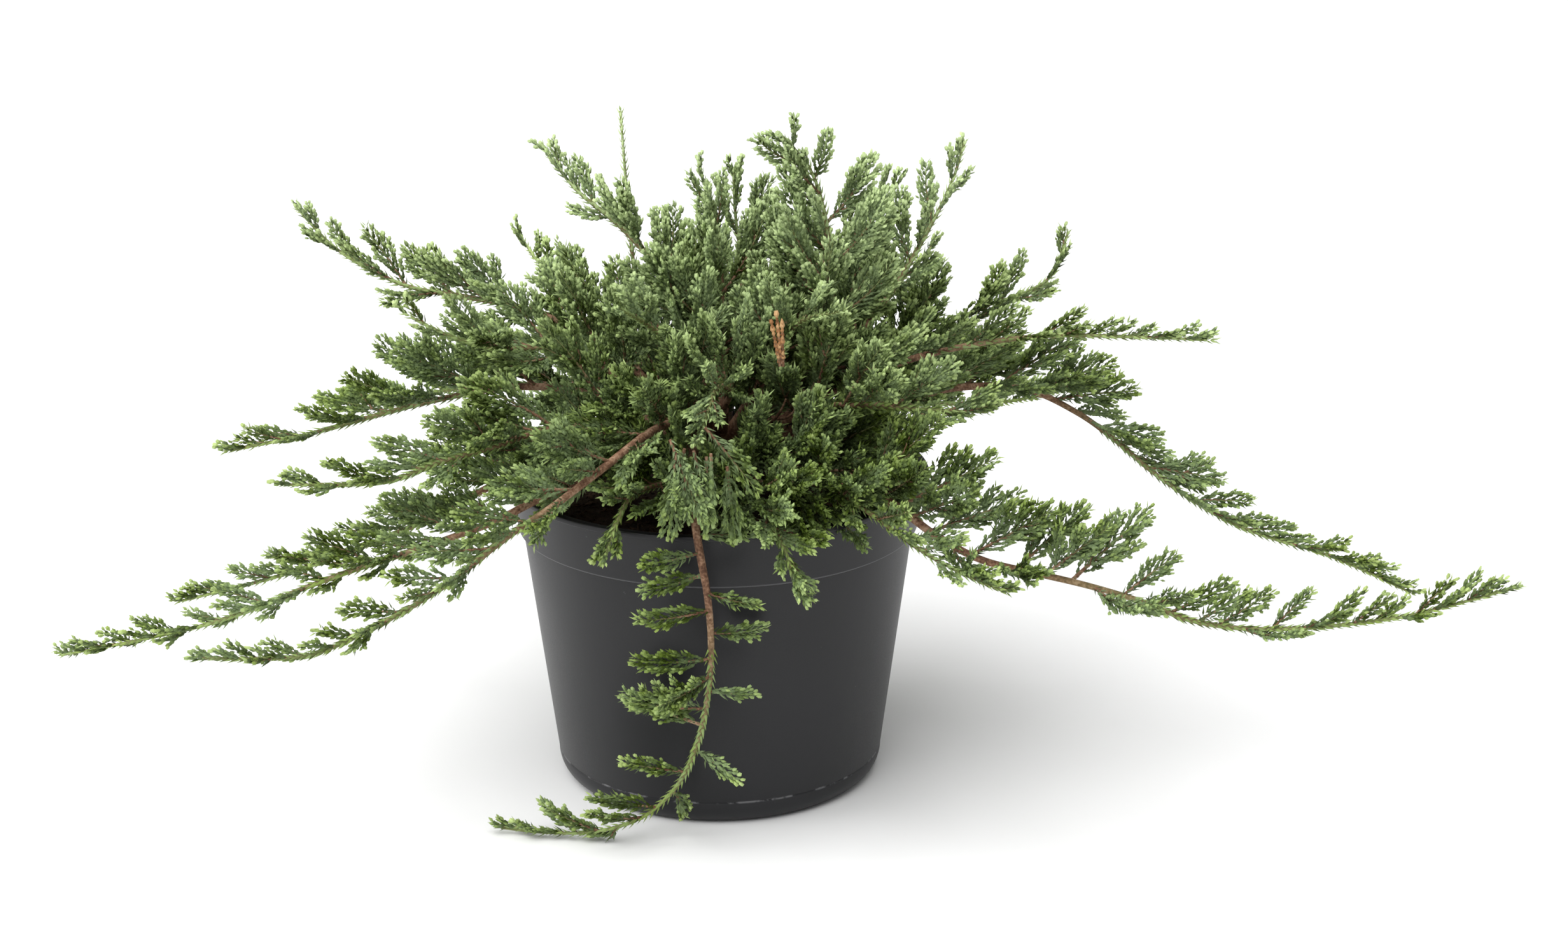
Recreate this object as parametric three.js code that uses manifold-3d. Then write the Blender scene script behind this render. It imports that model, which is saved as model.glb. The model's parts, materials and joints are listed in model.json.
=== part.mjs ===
// A creeping juniper in a round nursery pot: the pot, its potting mix, the woody crown that stands in
// the mix, and the branches that fan out over the rim. A long branch is a bare stem with a bank of leafy
// side shoots along its upper side. A short one is clothed in leaves all round and is one spray.
// Millimetres, +Z up. The origin is the centre of the pot's underside, and the front faces -Y.
import * as THREE from 'three';
import Module from 'manifold-3d';
import { mergeVertices } from 'three/addons/utils/BufferGeometryUtils.js';

const wasm = await Module();
wasm.setup();

// ---------------------------------------------------------------- driving dimensions

const gap = 0.3; // between pieces that touch
const sliver = 0.02; // what a cut leaves that is thinner than this is smoothed away

const potRimRadius = 95;
const potHeight = 142;
const potBaseRadius = 66; // where the underside ends and the rounded foot begins
const potWall = 1.6;
const potFloor = 4.2; // thickness at the middle of the underside
const footHeight = 10.5; // the foot curves out into the wall at this height
const footFlare = 8.5; // by how much the foot curves out
const bandHeight = 25; // the wider band under the rim
const bandStep = 2.2; // by how much the band stands out from the wall below it
const bandFlare = 2.6; // by how much the band widens to the rim
const lipWidth = 2.2;
const lipHeight = 2.4;
const lipRound = 0.6; // of the lip's edges
const footSteps = 4; // facets round the foot
const drainRingRadius = 41;
const drainRingWidth = 18;
const drainRingDepth = 2.4; // the ring channel keeps the drain holes off the ground
const drainHoleRadius = 5;
const drainHoleCount = 8;
const drainHoleSides = 12;

const headspace = 11; // from the rim down to the potting mix
const mixDome = 2.5; // the mix is this much higher round the crown
const mixEdge = 2; // the mix is rounded off this far from the wall
const mixClearance = 0.45; // from the mix to the wall

const crownRadius = 8;
const crownTopRadius = 6.4;
const crownSides = 10;
const crownHeight = 6; // of the fork, over the rim
const crownDepth = 14; // of the part that stands in the mix
const limbLength = 38; // from the fork to where a branch is a piece of its own
const limbRadius = 4.2;

const plantRise = 152; // of the highest tip, over the rim
const plantReach = 350; // of the farthest tip, from the pot's axis
const stemRadius = 2.6; // where a stem leaves the crown
const stemTipRadius = 0.9;
const stemSides = 6;
const bankWidth = 42; // of a bank of side shoots, at its fullest
const bankHeight = 30;
const sprayWidth = 32; // of a leafy spray, at its fullest
const sprayDepth = 22;
const endFullness = 0.16; // how full a leafy piece is at its two ends
const fullestEarly = 0.65; // under 1, a leafy piece is fullest nearer its root than its tip

const roundSegments = 36;
const stationStep = 23; // along a branch

// ---------------------------------------------------------------- materials

const plastic = new THREE.MeshStandardMaterial({ color: 0x3b3c3f, roughness: 0.55, metalness: 0 });
const mixCrumb = new THREE.MeshStandardMaterial({ color: 0x2a1f17, roughness: 0.95, metalness: 0 });
const bark = new THREE.MeshStandardMaterial({ color: 0x7a5238, roughness: 0.85, metalness: 0 });
const leaf = new THREE.MeshStandardMaterial({ color: 0x5f7f58, roughness: 0.7, metalness: 0 });

// ---------------------------------------------------------------- the branches

// The routes are drawn for this pot and this spread, and place() fits them to the real ones.
const drawn = { rim: 95, height: 142, rise: 152, reach: 350 };

// Each route runs from the crown's fork to the tip. A point is across, back and over the rim.
// side is the way the leafy side shoots point, and full is how full they are beside the common size.
const up = [0, 0, 1];

const branches = {
  left_low: {
    route: [[-40, -38, 14], [-74, -66, 9], [-93, -76, 2], [-119, -82, -6], [-162, -90, -18],
      [-205, -94, -34], [-242, -92, -44], [-276, -88, -52]],
    full: 0.8,
  },
  left_upper: {
    route: [[-34, -12, 16], [-70, -24, 14], [-92, -33, 7], [-112, -38, -3], [-149, -45, -18],
      [-189, -50, -31], [-235, -50, -43]],
    full: 0.8,
  },
  left_front: {
    route: [[-6, -24, 27], [-15, -50, 42], [-37, -85, 35], [-62, -110, 23], [-87, -125, 10],
      [-111, -140, -5], [-138, -155, -16], [-158, -165, -22], [-181, -172, -21], [-201, -178, -18]],
    full: 0.8,
  },
  left_mid: {
    route: [[-34, 16, 23], [-77, 30, 31], [-112, 25, 29], [-140, 20, 24], [-182, 10, 15], [-221, 5, 8]],
  },
  left_high: {
    route: [[-26, 14, 34], [-55, 30, 53], [-95, 50, 64], [-143, 65, 69], [-176, 75, 84], [-194, 80, 102]],
  },
  upper_left: {
    route: [[-9, 8, 40], [-19, 20, 77], [-33, 35, 96], [-61, 45, 115], [-78, 55, 136]],
    side: [0.5, -0.5, 0.8],
  },
  top_mid: {
    route: [[1, 4, 38], [2, 10, 69], [1, 15, 104], [-8, 20, 135]],
    side: [0, -1, 0.2],
  },
  top_right: {
    route: [[24, 0, 34], [46, 0, 64], [49, 5, 105], [42, 0, 134], [29, -10, 152]],
    side: [0, -1, 0.2],
    full: 1.1,
  },
  right_up: {
    route: [[34, 16, 30], [74, 30, 63], [95, 40, 97], [106, 45, 118], [113, 50, 138]],
    side: [-0.7, 0, 0.7],
    full: 0.8,
  },
  right_high: {
    route: [[36, 27, 21], [74, 46, 32], [103, 60, 43], [137, 75, 57], [158, 85, 66], [167, 90, 87]],
    full: 0.8,
  },
  right_mid: {
    route: [[38, -7, 30], [83, -5, 52], [135, -8, 62], [180, -12, 63], [218, -16, 62]],
    full: 0.8,
  },
  right_arch: {
    route: [[38, 8, 14], [82, 18, 27], [131, 25, 31], [167, 25, 16], [204, 20, -13], [240, 15, -35],
      [284, 10, -49], [320, 5, -65]],
    full: 0.9,
  },
  right_low: {
    route: [[44, -46, 13], [72, -70, 7], [103, -92, -9], [135, -100, -16], [167, -108, -22],
      [195, -115, -31], [221, -118, -34], [253, -120, -32], [284, -122, -27], [326, -125, -14]],
    full: 1.1,
  },
  front_trail: {
    route: [[-7, -30, 24], [-14, -62, 28], [-10, -90, 16], [-8, -104, -2], [-4, -103, -26],
      [-4, -100, -59], [-8, -98, -85], [-16, -95, -108], [-30, -92, -126], [-58, -88, -137.5],
      [-96, -78, -139.4]],
    side: [-0.7, -0.2, 0.9],
    full: 0.7,
  },
  back_left: {
    route: [[-34, 34, 12], [-72, 66, 19], [-110, 96, 12], [-150, 122, 0], [-186, 140, -8]],
  },
  back_low_left: {
    route: [[-18, 46, 12], [-38, 90, 9], [-62, 132, -6], [-86, 170, -24], [-104, 202, -34]],
  },
  back_low_mid: {
    route: [[5, 48, 12], [12, 96, 9], [20, 140, -6], [26, 190, -28], [26, 232, -40]],
  },
  back_low_right: {
    route: [[32, 42, 11], [66, 78, 7], [104, 114, -4], [146, 150, -14], [184, 180, -16]],
  },
};

const sprays = {
  left_near: {
    route: [[-32, -26, 27], [-70, -57, 32], [-104, -75, 30], [-136, -90, 23], [-177, -100, 26]],
  },
  left_tuft: {
    route: [[-30, -6, 34], [-73, -16, 58], [-106, -26, 64], [-133, -32, 80]],
  },
  thin_whip: {
    route: [[-18, 26, 36], [-36, 56, 72], [-41, 75, 109], [-44, 90, 146]],
    side: [0, -1, 0],
    full: 0.35,
  },
  top_back: {
    route: [[5, 24, 37], [8, 50, 64], [8, 58, 92], [8, 64, 123]],
    side: [0, -1, 0],
    full: 0.9,
  },
  top_right_back: {
    route: [[28, 30, 36], [54, 60, 66], [70, 74, 92], [84, 82, 112]],
    side: [0, -1, 0],
  },
  front_left_hang: {
    route: [[-16, -44, 12], [-34, -76, 10], [-43, -95, 3], [-47, -106, -9]],
  },
  front_right_hang: {
    route: [[12, -52, 14], [22, -90, 9], [29, -107, -4], [33, -116, -18]],
    full: 0.7,
  },
  right_small: {
    route: [[35, -52, 15], [58, -87, 10], [82, -111, -1], [102, -125, -8], [116, -131, -12]],
    full: 0.6,
  },
  front_mid: {
    route: [[2, -30, 38], [4, -62, 56], [-2, -88, 52], [-8, -104, 40]],
  },
  centre_left: {
    route: [[-8, -10, 36], [-24, -36, 72], [-44, -60, 92]],
    side: [0, -0.6, 0.8],
  },
  centre_right: {
    route: [[14, -11, 38], [36, -38, 72], [54, -60, 87]],
    side: [0, -0.6, 0.8],
  },
  right_dome: {
    route: [[24, -20, 28], [52, -40, 38], [84, -56, 44], [114, -58, 42]],
  },
  back_high_left: {
    route: [[-22, 34, 30], [-54, 78, 50], [-82, 114, 62], [-98, 142, 78]],
  },
  back_high_mid: {
    route: [[2, 42, 24], [4, 88, 46], [2, 128, 62], [-6, 158, 86]],
    full: 0.9,
  },
  back_high_right: {
    route: [[28, 42, 24], [60, 92, 42], [88, 130, 50], [110, 160, 66]],
    full: 0.9,
  },
};

/** A drawn point, moved to fit the pot and the plant's real rise and reach. */
function place([across, back, over]) {
  const radius = Math.hypot(across, back);
  const beyond = Math.max(radius - drawn.rim, 0);
  const inside = Math.min(radius, drawn.rim);
  const fitted = inside * potRimRadius / drawn.rim
    + beyond * (plantReach - potRimRadius) / (drawn.reach - drawn.rim);
  const spread = radius > 0 ? fitted / radius : 1;
  const lift = over > 0 ? plantRise / drawn.rise : potHeight / drawn.height;
  return new THREE.Vector3(across * spread, back * spread, potHeight + over * lift);
}

/** The whole of a branch, from the crown's fork to its tip, as one smooth curve. */
function curveOf(branch) {
  const points = [new THREE.Vector3(0, 0, potHeight + crownHeight), ...branch.route.map(place)];
  return new THREE.CatmullRomCurve3(points, false, 'centripetal');
}

// ---------------------------------------------------------------- solids

/** A stretch of a curve as stations: a place, the way to its upper side and the way across it. */
function stations(curve, from, to, side, count) {
  const whole = curve.getLength();
  return Array.from({ length: count + 1 }, (_, i) => {
    const at = THREE.MathUtils.clamp((from + (to - from) * i / count) / whole, 0, 1);
    const along = curve.getTangentAt(at);
    const above = new THREE.Vector3(...side).addScaledVector(along, -along.dot(new THREE.Vector3(...side)));
    above.normalize();
    const across = new THREE.Vector3().crossVectors(above, along);
    return { place: curve.getPointAt(at), above, across, share: i / count };
  });
}

/** A closed tube over a run of stations. section(x, y, share) puts a point of the unit circle in place. */
function solidOver(run, sides, section) {
  const steps = run.length - 1;
  const tube = new THREE.CylinderGeometry(1, 1, steps, sides, steps, false, Math.PI);
  tube.rotateX(Math.PI / 2);
  tube.translate(0, 0, steps / 2);
  const { position } = tube.attributes;
  for (let i = 0; i < position.count; i++) {
    const station = run[Math.round(position.getZ(i))];
    const [across, above] = section(position.getX(i), position.getY(i), station.share);
    const point = station.place.clone()
      .addScaledVector(station.across, across)
      .addScaledVector(station.above, above);
    position.setXYZ(i, point.x, point.y, point.z);
  }
  return tube;
}

/** How full a leafy piece is along its length: narrow at both ends, and fullest a third of the way out. */
const fullness = (share) => (
  endFullness + (1 - endFullness) * Math.sin(Math.PI * share ** fullestEarly)
);

const stemRadiusAt = (share) => THREE.MathUtils.lerp(stemRadius, stemTipRadius, share);

// A five-sided section, flat below and ridged above.
const pentagon = { sides: 5, half: Math.sin(0.4 * Math.PI), low: Math.cos(0.2 * Math.PI) };

/** A leafy piece's section. lowest is where its flat side lies, and clearance grows it all round. */
function leafySection(width, height, lowest, clearance) {
  const whole = 1 + pentagon.low;
  return (x, y, share) => [
    x / pentagon.half * (width / 2 * fullness(share) + clearance),
    lowest(share) - clearance + (y + pentagon.low) / whole * (height * fullness(share) + 2 * clearance),
  ];
}

function asManifold(geometry) {
  const bare = geometry.clone();
  bare.deleteAttribute('normal');
  bare.deleteAttribute('uv');
  const merged = mergeVertices(bare, 1e-4);
  return new wasm.Manifold(new wasm.Mesh({
    numProp: 3,
    vertProperties: new Float32Array(merged.attributes.position.array),
    triVerts: new Uint32Array(merged.index.array),
  }));
}

function asGeometry(solid) {
  const mesh = solid.getMesh();
  const geometry = new THREE.BufferGeometry();
  geometry.setAttribute('position', new THREE.BufferAttribute(mesh.vertProperties, 3));
  geometry.setIndex(new THREE.BufferAttribute(mesh.triVerts, 1));
  geometry.computeVertexNormals();
  return geometry;
}

/** A solid turned about the Z axis from an outline of [radius, height] points. */
function turned(outline) {
  const points = outline.map(([radius, height]) => new THREE.Vector2(radius, height));
  return new THREE.LatheGeometry(points, roundSegments).rotateX(Math.PI / 2);
}

// ---------------------------------------------------------------- the pot and the potting mix

const bandTopRadius = potRimRadius - lipWidth;
const bandFootRadius = bandTopRadius - bandFlare;
const wallTopRadius = bandFootRadius - bandStep;
const wallFootRadius = potBaseRadius + footFlare;
const bandFoot = potHeight - bandHeight;

function footArc(inset, lowest, steps) {
  return Array.from({ length: steps + 1 }, (_, i) => {
    const angle = Math.PI / 2 * i / steps;
    const radius = potBaseRadius - inset + footFlare * Math.sin(angle);
    return [radius, footHeight - (footHeight - lowest) * Math.cos(angle)];
  });
}

/** The inside of the wall, from the floor up. inset moves it towards the axis. */
function innerWall(inset) {
  return [
    ...footArc(potWall + inset, potFloor + (inset > 0 ? gap : 0), footSteps - 1),
    [wallTopRadius - potWall - inset, bandFoot],
    [bandFootRadius - potWall - inset, bandFoot + bandStep],
    [bandTopRadius - potWall - inset, potHeight - lipHeight],
  ];
}

/** The outside of the pot, from the edge of its underside to the lip. */
function outerWall(outset) {
  return [
    ...footArc(-outset, 0, footSteps),
    [wallTopRadius + outset, bandFoot],
    [bandFootRadius + outset, bandFoot + bandStep / 2],
    [bandTopRadius + outset, potHeight - lipHeight],
    [potRimRadius + outset, potHeight - lipHeight + lipRound],
    [potRimRadius + outset, potHeight - lipRound],
  ];
}

function pot() {
  const channel = [drainRingRadius - drainRingWidth / 2, drainRingRadius + drainRingWidth / 2];
  const outline = [
    [0, 0],
    [channel[0] - drainRingDepth, 0],
    [channel[0], drainRingDepth],
    [channel[1], drainRingDepth],
    [channel[1] + drainRingDepth, 0],
    ...outerWall(0),
    [potRimRadius - lipWidth / 2, potHeight],
    [bandTopRadius - potWall, potHeight],
    ...innerWall(0).reverse(),
    [0, potFloor],
  ];
  let shell = asManifold(turned(outline));
  for (let i = 0; i < drainHoleCount; i++) {
    const angle = (i + 0.5) / drainHoleCount * 2 * Math.PI;
    const hole = new THREE.CylinderGeometry(drainHoleRadius, drainHoleRadius, 4 * potFloor, drainHoleSides)
      .rotateX(Math.PI / 2)
      .translate(drainRingRadius * Math.cos(angle), drainRingRadius * Math.sin(angle), 0);
    shell = shell.subtract(asManifold(hole));
  }
  return asGeometry(shell);
}

const mixTop = potHeight - headspace;

/** The part of the crown that is round and upright, grown by clearance for its socket in the mix. */
function crownPost(clearance) {
  const foot = mixTop - crownDepth - clearance;
  const top = potHeight + crownHeight;
  const radii = [crownTopRadius + clearance, crownRadius + clearance];
  const post = new THREE.CylinderGeometry(...radii, top - foot, crownSides, 1);
  return post.rotateX(Math.PI / 2).translate(0, 0, (top + foot) / 2);
}

function pottingMix() {
  const side = innerWall(mixClearance).filter(([, height]) => height < mixTop);
  const share = (mixTop - bandFoot - bandStep) / (bandHeight - lipHeight - bandStep);
  const edge = bandFootRadius - potWall - mixClearance + bandFlare * share;
  const outline = [
    [0, potFloor + gap],
    ...side,
    [edge, mixTop - mixEdge / 2],
    [edge - mixEdge, mixTop],
    [edge / 2, mixTop + mixDome / 2],
    [0, mixTop + mixDome],
  ];
  return asGeometry(asManifold(turned(outline)).subtract(asManifold(crownPost(gap))));
}

// ---------------------------------------------------------------- the plant

/** The woody crown: an upright post and one limb reaching out to each branch. */
function crown(clearance) {
  let solid = asManifold(crownPost(clearance));
  for (const branch of [...Object.values(branches), ...Object.values(sprays)]) {
    const run = stations(curveOf(branch), 0, limbLength, branch.side ?? up, 2);
    const limb = solidOver(run, stemSides, (x, y, share) => {
      const radius = THREE.MathUtils.lerp(limbRadius, stemRadius, share) + clearance;
      return [x * radius, y * radius];
    });
    solid = solid.add(asManifold(limb));
  }
  return solid.simplify(sliver);
}

/** The stations that a branch's stem and its bank of side shoots share, so that they lie face to face. */
function outerRun(branch) {
  const curve = curveOf(branch);
  const whole = curve.getLength();
  const from = limbLength + 2 * gap;
  return stations(curve, from, whole, branch.side ?? up, Math.ceil((whole - from) / stationStep));
}

function stem(branch, clearance) {
  const radius = (share) => stemRadiusAt(share) + clearance;
  return solidOver(outerRun(branch), stemSides, (x, y, share) => [x * radius(share), y * radius(share)]);
}

/** The side shoots along a stem, as one closed bank on its upper side. */
function bank(branch, clearance) {
  const full = branch.full ?? 1;
  const rest = (share) => stemRadiusAt(share) + 2 * gap;
  const section = leafySection(bankWidth * full, bankHeight * full, rest, clearance);
  return solidOver(outerRun(branch), pentagon.sides, section);
}

/** A short branch that is clothed in leaves all round. */
function spray(branch, clearance) {
  const full = branch.full ?? 1;
  const rest = (share) => -sprayDepth * full / 3 * fullness(share);
  const section = leafySection(sprayWidth * full, sprayDepth * full, rest, clearance);
  return solidOver(outerRun(branch), pentagon.sides, section);
}

/** What a leafy piece keeps beside its neighbours: the largest part that is outside all their rooms. */
function clearOf(rooms, geometry) {
  const whole = asManifold(geometry);
  const cutting = rooms.filter((room) => !whole.intersect(room).isEmpty());
  if (cutting.length === 0) return geometry;
  const parts = cutting.reduce((rest, room) => rest.subtract(room), whole).simplify(sliver).decompose();
  return asGeometry(parts.reduce((most, part) => (part.volume() > most.volume() ? part : most)));
}

// ---------------------------------------------------------------- assembly

const juniper = new THREE.Group();

function add(name, geometry, material) {
  const mesh = new THREE.Mesh(geometry, material);
  mesh.name = name;
  juniper.add(mesh);
}

add('pot', pot(), plastic);
add('potting_mix', pottingMix(), mixCrumb);
add('root_crown', asGeometry(crown(0)), bark);

// Leafy pieces give way to the wood and the pot, and each one to the leafy pieces before it.
const rooms = [
  asManifold(turned([[0, 0], ...outerWall(gap), [0, potHeight]])),
  crown(gap),
  ...Object.values(branches).map((branch) => asManifold(stem(branch, gap))),
];
for (const [name, branch] of Object.entries(branches)) {
  add(`stem_${name}`, stem(branch, 0), bark);
}
for (const [name, branch] of Object.entries(sprays)) {
  add(`spray_${name}`, clearOf(rooms, spray(branch, 0)), leaf);
  rooms.push(asManifold(spray(branch, gap)));
}
for (const [name, branch] of Object.entries(branches)) {
  add(`foliage_${name}`, clearOf(rooms, bank(branch, 0)), leaf);
  rooms.push(asManifold(bank(branch, gap)));
}

export default juniper;
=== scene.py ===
# %% [markdown]
# # A potted creeping juniper
# A creeping juniper throws out long, low branches. Side shoots stand along the upper side of each branch,
# twigs fan out from each side shoot, and small pointed leaves clothe every twig. The CAD frame gives the pot
# and the route of each branch, and this script grows the plant along those routes: branch, side shoot, twig,
# bud and leaf.

# %% Load the frame
import json
import math
import bmesh
import bpy
import numpy as np
from mathutils import Euler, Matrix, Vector, noise

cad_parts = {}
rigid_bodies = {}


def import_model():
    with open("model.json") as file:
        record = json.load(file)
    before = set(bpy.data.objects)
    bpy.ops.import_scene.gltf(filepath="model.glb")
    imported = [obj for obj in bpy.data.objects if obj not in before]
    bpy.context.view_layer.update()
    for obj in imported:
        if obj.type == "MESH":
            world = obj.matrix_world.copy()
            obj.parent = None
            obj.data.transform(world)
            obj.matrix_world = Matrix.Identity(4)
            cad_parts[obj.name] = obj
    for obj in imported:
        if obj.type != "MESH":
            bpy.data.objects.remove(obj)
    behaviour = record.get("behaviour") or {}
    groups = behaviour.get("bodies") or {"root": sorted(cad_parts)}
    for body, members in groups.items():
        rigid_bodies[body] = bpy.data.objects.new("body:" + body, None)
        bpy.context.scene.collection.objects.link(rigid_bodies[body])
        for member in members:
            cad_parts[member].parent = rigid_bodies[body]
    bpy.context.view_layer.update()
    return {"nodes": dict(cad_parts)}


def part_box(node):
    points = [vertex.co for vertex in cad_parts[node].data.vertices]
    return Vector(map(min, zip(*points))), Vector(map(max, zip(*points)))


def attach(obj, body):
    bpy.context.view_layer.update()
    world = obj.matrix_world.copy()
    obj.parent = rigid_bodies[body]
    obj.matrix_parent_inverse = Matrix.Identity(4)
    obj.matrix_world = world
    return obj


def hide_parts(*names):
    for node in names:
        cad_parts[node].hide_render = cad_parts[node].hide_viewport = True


for leftover in list(bpy.data.objects):
    bpy.data.objects.remove(leftover)
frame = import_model()

MM = 0.001
ROOT = "root"
UP = np.array([0.0, 0.0, 1.0])
pot_low, pot_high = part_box("pot")
RIM_RADIUS = (pot_high.x - pot_low.x) / 2
RIM_HEIGHT = pot_high.z
print("pot", round(RIM_RADIUS / MM, 1), "mm rim radius,", round(RIM_HEIGHT / MM, 1), "mm high")

# %% [markdown]
# ## Camera
# The plant is seen from a little above, from about 1.2 m away, with a lens long enough to keep the
# pot's sides nearly straight. The camera turns slightly to the right, because the longest branch reaches that
# way.

# %% Set the camera
CAMERA_PLACE = (0.0, -1.1055, 0.4962)
CAMERA_PITCH = math.radians(-17.94)
CAMERA_TURN = math.radians(-1.54)
lens = bpy.data.cameras.new("camera")
lens.lens = 59.2
lens.sensor_width = 36.0
camera = bpy.data.objects.new("camera", lens)
camera.location = CAMERA_PLACE
camera.rotation_euler = Euler((math.pi / 2 + CAMERA_PITCH, 0.0, CAMERA_TURN))
bpy.context.scene.collection.objects.link(camera)
bpy.context.scene.camera = camera

# %% [markdown]
# ## Small helpers
# Every finished piece is a plain mesh at the origin. A helper makes a mesh object from arrays, and another
# turns the result of a Geometry Nodes modifier into a plain mesh, so that nothing stays live on a piece.


# %% Make objects and finish them
def mesh_object(name, points, edges=(), faces=()):
    mesh = bpy.data.meshes.new(name)
    mesh.from_pydata(np.asarray(points).tolist(), np.asarray(edges).tolist(), faces)
    made = bpy.data.objects.new(name, mesh)
    bpy.context.scene.collection.objects.link(made)
    return made


def add_attribute(obj, name, values):
    layer = obj.data.attributes.new(name, "FLOAT", "POINT")
    layer.data.foreach_set("value", np.asarray(values, np.float32))


def with_nodes(obj, tree, **inputs):
    """Gives obj a Geometry Nodes modifier and sets its named inputs by their identifiers."""
    modifier = obj.modifiers.new("grow", "NODES")
    modifier.node_group = tree
    sockets = {s.name: s.identifier for s in tree.interface.items_tree if s.item_type == "SOCKET"}
    for name, value in inputs.items():
        modifier[sockets[name]] = value


def settle(obj, smooth=False):
    """Turns what the modifiers make into obj's own plain mesh, and removes them."""
    depsgraph = bpy.context.evaluated_depsgraph_get()
    result = bpy.data.meshes.new_from_object(obj.evaluated_get(depsgraph), depsgraph=depsgraph)
    obj.modifiers.clear()
    old = obj.data
    obj.data = result
    result.name = obj.name
    bpy.data.meshes.remove(old)
    if smooth:
        result.shade_smooth()


def triangles(obj):
    obj.data.calc_loop_triangles()
    return len(obj.data.loop_triangles)


def unit(vectors):
    vectors = np.asarray(vectors, float)
    return vectors / np.maximum(np.linalg.norm(vectors, axis=-1, keepdims=True), 1e-12)


def level(angle):
    """The level direction at an angle about the upright axis."""
    return np.array([math.cos(angle), math.sin(angle), 0.0])


# %% [markdown]
# ## Reading the routes from the frame
# A CAD branch is a tube of rings closed by a fan at each end. The middle of a fan touches only the first
# ring, that ring touches the next, and so on. Walking the mesh outwards from the fan nearest the crown
# therefore gives the rings in order, and the middle of each ring is a point of the branch's route.


# %% Walk a CAD tube ring by ring
CROWN_FORK = np.array([0.0, 0.0, RIM_HEIGHT + 6 * MM])
TUBE_SIDES = (5, 6)


def merged_mesh(node):
    mesh = frame["nodes"][node].data
    points = np.empty(len(mesh.vertices) * 3)
    mesh.vertices.foreach_get("co", points)
    corners = np.empty(len(mesh.loops), int)
    mesh.loops.foreach_get("vertex_index", corners)
    places, index = np.unique(np.round(points.reshape(-1, 3), 6), axis=0, return_inverse=True)
    return places, index.ravel()[corners].reshape(-1, 3)


def route_of(node):
    places, faces = merged_mesh(node)
    touching = [set() for _ in places]
    for a, b, c in faces:
        touching[a] |= {b, c}
        touching[b] |= {a, c}
        touching[c] |= {a, b}
    nearest = np.argsort(np.linalg.norm(places - CROWN_FORK, axis=1))
    sides = min(len(t) for t in touching)
    fans = [i for i in nearest if is_fan(i, touching)]
    ring, seen, middles = {fans[0]}, {fans[0]}, []
    while ring:
        ring = set().union(*(touching[i] for i in ring)) - seen
        seen |= ring
        if len(ring) >= sides:
            middles.append(places[list(ring)].mean(axis=0))
    return np.array(middles)


def is_fan(i, touching):
    """The middle of a fan touches a closed ring, in which each point has two neighbours besides itself."""
    around = touching[i]
    return all(len(touching[j] & around) == 2 for j in around) and len(around) in TUBE_SIDES


def smooth_route(points, step=3 * MM):
    """The same route as a Catmull-Rom curve, with a point every few millimetres."""
    padded = np.vstack([2 * points[0] - points[1], points, 2 * points[-1] - points[-2]])
    pieces = []
    for a, b, c, d in zip(padded, padded[1:], padded[2:], padded[3:]):
        count = max(2, int(round(np.linalg.norm(c - b) / step)))
        t = np.linspace(0, 1, count, endpoint=False)[:, None]
        pieces.append(0.5 * (2 * b + (c - a) * t + (2 * a - 5 * b + 4 * c - d) * t ** 2
                             + (3 * b - a - 3 * c + d) * t ** 3))
    return np.vstack([*pieces, points[-1:]])


def names_after(start):
    return sorted(n[len(start):] for n in frame["nodes"] if n.startswith(start))


STEM_NAMES, SPRAY_NAMES = names_after("stem_"), names_after("spray_")
routes = {name: smooth_route(route_of("stem_" + name)) for name in STEM_NAMES}
routes.update({name: smooth_route(route_of("spray_" + name)) for name in SPRAY_NAMES})
for name, route in routes.items():
    length = np.linalg.norm(np.diff(route, axis=0), axis=1).sum()
    print("route", name, len(route), "points,", round(length / MM), "mm")


# %% [markdown]
# ## A skeleton of paths
# The leaves and the bark follow paths. A skeleton collects many short paths and becomes one mesh of edges
# whose points carry what the next step needs: how thick the wood is, how long the leaves are, how young they
# are and whether they are pressed scales or open needles.


# %% Collect paths
class Skeleton:
    def __init__(self):
        self.points, self.counts, self.values = [], [], []

    def add(self, paths, **values):
        """paths is an array of path, point, xyz. Each value is a number, or an array of path, point."""
        paths = np.asarray(paths, float)
        kinds, steps = paths.shape[:2]
        self.points.append(paths.reshape(-1, 3))
        self.counts += [steps] * kinds
        self.values.append({k: np.broadcast_to(v, (kinds, steps)).ravel() for k, v in values.items()})

    def to_object(self, name):
        points = np.vstack(self.points)
        ends = np.cumsum(self.counts)
        starts = np.arange(len(points) - 1)
        starts = np.delete(starts, ends[:-1] - 1)
        made = mesh_object(name, points, np.column_stack([starts, starts + 1]))
        for key in self.values[0]:
            add_attribute(made, key, np.concatenate([v[key] for v in self.values]))
        return made


def arcs(starts, headings, towards, lengths, steps, bend):
    """Paths that leave their starts along headings and turn towards other directions by a share bend."""
    t = np.linspace(0, 1, steps)[None, :, None]
    lengths = np.asarray(lengths)[:, None, None]
    headings, towards = headings[:, None, :], towards[:, None, :]
    return starts[:, None, :] + lengths * (headings * t + bend * (towards - headings) * t ** 2 / 2)


def at_share(path, share):
    """Points and directions of a path at shares of its length."""
    runs = np.linalg.norm(np.diff(path, axis=0), axis=1)
    along = np.concatenate([[0], np.cumsum(runs)]) / runs.sum()
    points = np.column_stack([np.interp(share, along, path[:, k]) for k in range(3)])
    tangents = unit(np.gradient(path, axis=0))
    return points, unit(np.column_stack([np.interp(share, along, tangents[:, k]) for k in range(3)]))


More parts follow.
